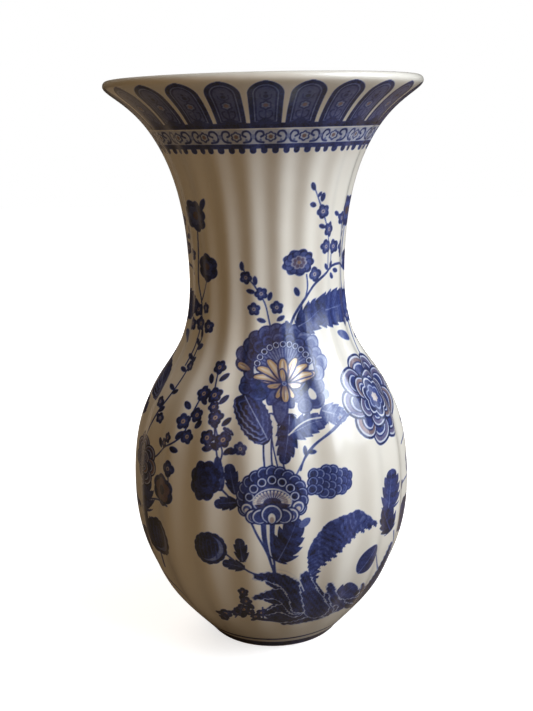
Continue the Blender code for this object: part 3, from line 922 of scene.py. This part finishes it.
def paint(group, turn, height, reach):
    """Draws a group of motifs round a place given by its turn from the front and its height. The wall is
    rolled so that its meridian is in the middle, measured as turn times radius, and rolled back
    afterwards."""
    shift = COLUMNS // 2 - int(np.argmin(np.abs((TURNS - turn + math.pi) % (2 * math.pi) - math.pi)))
    blue, gold = np.roll(BLUE, shift, 1), np.roll(GOLD, shift, 1)
    away = (np.roll(TURNS, shift) - turn + math.pi) % (2 * math.pi) - math.pi
    x = away[None, :] * PLACES[:, 0, None]
    y = (RUNS - run_at(height))[:, None] + 0 * x
    group(Patch(x, y, blue, gold).at(0, 0, reach=reach))
    BLUE[:], GOLD[:] = np.roll(blue, -shift, 1), np.roll(gold, -shift, 1)


def around(repeats, height, rows, offset=0.0):
    """A view of whole rows of the wall whose x starts again this many times round the pot, the first time at
    the offset, in radians."""
    pitch = 2 * math.pi / repeats
    x = ((TURNS - offset + pitch / 2) % pitch - pitch / 2)[None, :] * PLACES[rows, 0, None]
    return Patch(x, (RUNS[rows] - run_at(height))[:, None] + 0 * x, BLUE[rows], GOLD[rows])


for turn in (0, 120, 240):
    paint(ground, math.radians(turn + 10), 45, 62)
    paint(right_belly, math.radians(turn + 42), 110, 70)
    paint(front_belly, math.radians(turn - 2), 98, 52)
    paint(great_flower, math.radians(turn + 5), 155, 50)
    paint(fan_flower, math.radians(turn - 2), 98, 26)
for turn in (42, 162):
    paint(right_flower, math.radians(turn), 110, 80)
for turn in (-42, 92, 200):
    paint(left_sprays, math.radians(turn), 110, 62)
paint(left_flower, math.radians(-42), 110, 78)
paint(low_right, math.radians(45), 50, 60)
for turn in (-45, 86, 192):
    paint(far_left_neck, math.radians(turn), 205, 56)
for turn in (25, 142, 242):
    paint(neck_flowers, math.radians(turn), 212, 52)

# Heights: the feet of the border's arches, the lowest row the border may reach, and the top of the rows that
# take the foot's bands. Then how many of each motif go round, and the turn of the first one in radians
BORDER_HEIGHT, BORDER_LOW, BANDS_TOP = 277, 262, 20
BAND, ARCHES, SCROLL_PAIRS, TEETH = (1, 0.0), (24, 0.016), (22, 0.056), (64, 0.0)
BORDER_ROWS, BANDS_ROWS = np.s_[row_at(BORDER_LOW) :], np.s_[: row_at(BANDS_TOP)]
motifs = (BAND, ARCHES, SCROLL_PAIRS, TEETH)
border(*(around(repeats, BORDER_HEIGHT, BORDER_ROWS, offset) for repeats, offset in motifs))
foot_bands(around(1, 0, BANDS_ROWS))

# ------------------------------------------------------------
# The belly
# The body of the pot with its floor and shoulder, formed in a lobed mould and luted to the foot ring below.
# Cream glaze inside and out over the cobalt painting. It is cut into level slices only because of its many
# points.
# ------------------------------------------------------------


NO_ROWS = (np.zeros((0, 2)), np.zeros((0, 2)))
FLOOR_THICKNESS, COVE, INNER_ROWS = 6.0, 8.0, 8


def slice_of_wall(name, node, first, last, thin=1, top=NO_ROWS, floor=NO_ROWS):
    """One level slice of the wall: its outer rows carry the painting, and its inner side lies a wall's depth
    in. The top rows close it at the mouth instead, and the floor rows at the foot. A thin of 2 skips every
    other column."""
    outer, outer_way = PLACES[first : last + 1], WAYS[first : last + 1]
    turns = TURNS[::thin]
    (upper, upper_way), (low, low_way), (under, under_way) = top, floor, NO_ROWS
    inner_top = run_at(TOP - 13) if len(upper) else RUNS[last]
    inner, inner_way = wall(np.linspace(inner_top, RUNS[first], INNER_ROWS), WALL)
    if len(low):
        keep = inner[:, 1] > low[0, 1] + 0.3
        inner, inner_way = inner[keep], inner_way[keep]
        under = np.array([[r, outer[0, 1]] for r in (6.0, 18.0, 29.0)])
        under_way = np.array([[1.0, 0.0]] * 3)
    places = np.concatenate([under, outer, upper, inner, low])
    ways = np.concatenate([under_way, outer_way, upper_way, -inner_way, low_way])
    cobalt, gold = (layer[first : last + 1, ::thin].astype(np.float32) for layer in (BLUE, GOLD))
    layers, start = {"cobalt": cobalt, "gold": gold}, len(under) * len(turns)
    piece = turned(name, places, ways, turns, not len(low), GLAZE, layers, start)
    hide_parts(node)


def floor_rows():
    """The inside of the pot from just above the floor: a quarter round cove, then the level floor to the
    axis."""
    level = UNDERSIDE + FLOOR_THICKNESS
    (start,), _ = wall(run_at(level + COVE), WALL)
    angles = np.linspace(0, math.pi / 2, 9)[1:]
    radius, height = start[0] - COVE * (1 - np.cos(angles)), level + (start[1] - level) * (1 - np.sin(angles))
    ways = np.stack([-np.sin(angles), -np.cos(angles)], 1)
    flat = np.array([[r, level] for r in (28.0, 16.0, 5.0)])
    return np.concatenate([np.stack([radius, height], 1), flat]), np.concatenate([ways, [[-1.0, 0.0]] * 3])


def cuts(first, last, many):
    """Where to cut the rows between two heights into so many slices."""
    return [int(row) for row in np.linspace(row_at(first), min(row_at(last), len(RUNS) - 1), many + 1)]


SHOULDER_TOP, NECK_TOP = 170, 250
BELLY_CUTS = cuts(UNDERSIDE, SHOULDER_TOP, 6)
slice_of_wall("belly_floor", "belly", BELLY_CUTS[0], BELLY_CUTS[1], floor=floor_rows())
for label, low, high in zip(("foot", "lower", "middle", "upper", "shoulder"), BELLY_CUTS[1:], BELLY_CUTS[2:]):
    slice_of_wall("belly_" + label, "belly", low, high)
JOINT_ROW = row_at(WAIST_HEIGHT)
slice_of_wall("belly_waist", "belly", BELLY_CUTS[-1], JOINT_ROW, thin=2)

# ------------------------------------------------------------
# The neck and mouth
# A second lobed section luted on at the waist, flaring to a plain rounded lip. Cream glaze inside and out,
# with the printed border under the lip.
# ------------------------------------------------------------


def lip_rows():
    """The round lip: half a circle from the end of the outline over the top to the inside."""
    half = LIP / 2
    angles = np.linspace(MOUTH_ANGLE - math.pi / 2, MOUTH_ANGLE + math.pi / 2, 19)[1:]
    places = np.stack([MOUTH_RADIUS - half + half * np.cos(angles), TOP - half + half * np.sin(angles)], 1)
    return places, np.stack([-np.sin(angles), np.cos(angles)], 1)


MOUTH_CUTS = cuts(NECK_TOP, TOP, 2)
slice_of_wall("neck_stem", "neck", JOINT_ROW, MOUTH_CUTS[0], thin=2)
slice_of_wall("neck_flare", "neck", MOUTH_CUTS[0], MOUTH_CUTS[1])
slice_of_wall("neck_mouth", "neck", MOUTH_CUTS[1], MOUTH_CUTS[2], top=lip_rows())

# ------------------------------------------------------------
# The floor, the light and the camera
# A white table that takes a soft shadow and a white backdrop. A big cool lamp stands at the right with a
# small one beside it, a weak warm one in front on the left, and one behind the pot that no reflection shows.
# ------------------------------------------------------------


def backdrop():
    """A level floor that the lens sees as white with the pot's soft shadow on it. The glaze sees a dim warm
    table instead."""
    mesh = bpy.data.meshes.new("backdrop")
    half = 3.0
    corners = [(-half, -half, 0), (half, -half, 0), (half, half, 0), (-half, half, 0)]
    mesh.from_pydata(corners, [], [(0, 1, 2, 3)])
    material = bpy.data.materials.new("white_paper")
    add = node_maker(material)
    paper = add("ShaderNodeBsdfDiffuse", Color=(0.8, 0.8, 0.8, 1)).outputs[0]
    where = add("ShaderNodeTexCoord").outputs["Object"]
    away = add("ShaderNodeVectorMath", {"operation": "LENGTH"}, i0=where).outputs["Value"]
    glow = spread(add, away, 0.05, 0.5, 0.72, 1.0)
    bright = add("ShaderNodeEmission", Color=(1, 1, 1, 1), Strength=glow).outputs[0]
    seen = add("ShaderNodeAddShader", i0=paper, i1=bright).outputs[0]
    path = add("ShaderNodeLightPath")
    table = add("ShaderNodeBsdfDiffuse", Color=(0.19, 0.145, 0.10, 1)).outputs[0]
    mixed = add("ShaderNodeMixShader", i0=path.outputs["Is Camera Ray"], i1=table, i2=seen)
    add("ShaderNodeOutputMaterial", Surface=mixed.outputs[0])
    mesh.materials.append(material)
    floor = bpy.data.objects.new("backdrop", mesh)
    bpy.context.scene.collection.objects.link(floor)


def world():
    """Plain white to the lens; a dim warm room in reflections and for the fill light."""
    room = bpy.data.worlds.new("room")
    bpy.context.scene.world = room
    add = node_maker(room)
    seen = add("ShaderNodeLightPath").outputs["Is Camera Ray"]
    white = add("ShaderNodeBackground", Color=(1, 1, 1, 1), Strength=1.0).outputs[0]
    dim = add("ShaderNodeBackground", Color=(1.0, 0.70, 0.42, 1), Strength=0.05).outputs[0]
    mixed = add("ShaderNodeMixShader", i0=seen, i1=dim, i2=white)
    add("ShaderNodeOutputWorld", Surface=mixed.outputs[0])


def lamp(name, place, aim, size, power, colour, mirrored=True):
    """A soft rectangular lamp that faces a point, and may be kept out of the glaze's reflections."""
    light = bpy.data.lights.new(name, "AREA")
    light.shape, light.size, light.size_y = "RECTANGLE", size[0], size[1]
    light.energy, light.color = power, colour
    holder = bpy.data.objects.new(name, light)
    holder.location = place
    holder.rotation_euler = (Vector(aim) - Vector(place)).to_track_quat("-Z", "Y").to_euler()
    holder.visible_glossy = mirrored
    bpy.context.scene.collection.objects.link(holder)


def camera():
    """The lens stands just above the shoulder, 0.53 m in front, and looks slightly down."""
    lens = bpy.data.cameras.new("camera")
    lens.lens, lens.sensor_width, lens.sensor_fit = 50.57, 36, "AUTO"
    holder = bpy.data.objects.new("camera", lens)
    yaw, pitch, roll = (math.radians(angle) for angle in (-0.13, 13.13, -1.27))
    aimed = Matrix.Rotation(-yaw, 4, "Z") @ Matrix.Rotation(math.pi / 2 - pitch, 4, "X")
    turn = aimed @ Matrix.Rotation(roll, 4, "Z")
    holder.matrix_world = Matrix.Translation((0, -0.53009, 0.27826)) @ turn
    bpy.context.scene.collection.objects.link(holder)
    bpy.context.scene.camera = holder


backdrop()
world()
lamp("window", (1.04, -0.40, 0.82), (0, 0, 0.16), (1.2, 1.3), 21.5, (0.82, 0.90, 1.0))
lamp("pane", (0.76, -0.24, 0.82), (0.03, -0.04, 0.152), (0.5, 0.4), 3.6, (0.84, 0.92, 1.0))
lamp("room", (-0.30, -1.10, 0.80), (0, 0, 0.17), (1.7, 1.1), 2.5, (1.0, 0.66, 0.33))
lamp("far_wall", (-0.45, 1.2, 0.75), (0, 0, 0.14), (1.2, 1.2), 14, (1.0, 0.93, 0.84), False)
camera()
bpy.context.scene.view_settings.view_transform = "Standard"
